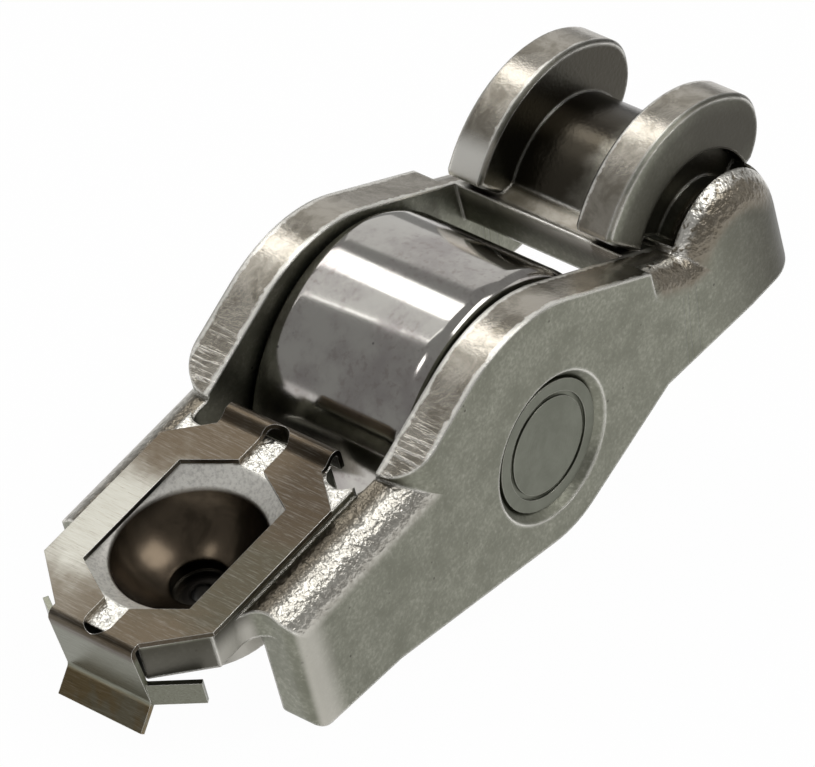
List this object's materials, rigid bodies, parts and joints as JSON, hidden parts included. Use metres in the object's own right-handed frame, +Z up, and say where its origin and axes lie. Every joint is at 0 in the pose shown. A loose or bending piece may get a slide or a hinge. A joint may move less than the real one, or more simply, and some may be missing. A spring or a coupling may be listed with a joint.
{
  "type": "roller rocker arm",
  "caption": "Folded steel rocker arm with a ball socket, a valve pad between guide ears, a roller on needles and a spring clip.",
  "frame": {"origin": "middle of the part in plan, on the table it lies on", "axes": "+X from the ball socket to the valve pad, +Y along the axle, +Z up from the table. The lever itself is tipped 21 degrees about +Y, as it lies on its roller and its two legs."},
  "size_m": [0.0456, 0.0154, 0.0223],
  "materials": {
    "lever_steel": "satin, tumbled, bright burred edges",
    "clip_steel": "brushed, oiled",
    "axle_steel": "ground",
    "roller_steel": "polished",
    "needle_steel": "polished"
  },
  "bodies": {
    "lever": {"lever_body": "lever_steel", "retaining_clip": "clip_steel", "axle_pin": "axle_steel"},
    "roller": {"roller": "roller_steel"},
    "needle_set": {"needle_01": "needle_steel", "needle_02": "needle_steel", "needle_03": "needle_steel", "needle_04": "needle_steel", "needle_05": "needle_steel", "needle_06": "needle_steel", "needle_07": "needle_steel", "needle_08": "needle_steel", "needle_09": "needle_steel", "needle_10": "needle_steel", "needle_11": "needle_steel", "needle_12": "needle_steel", "needle_13": "needle_steel", "needle_14": "needle_steel", "needle_15": "needle_steel", "needle_16": "needle_steel", "needle_17": "needle_steel"}
  },
  "joints": [
    {"name": "roller_spin", "type": "hinge", "parent": "lever", "child": "roller", "pos_m": [0.00281, 0, 0.00895], "axis": [0, 1, 0], "continuous": true},
    {"name": "needle_orbit", "type": "hinge", "parent": "lever", "child": "needle_set", "pos_m": [0.00281, 0, 0.00895], "axis": [0, 1, 0], "continuous": true}
  ],
  "couplings": [
    {"joint": "needle_orbit", "follows": "roller_spin", "ratio": 0.58581}
  ]
}
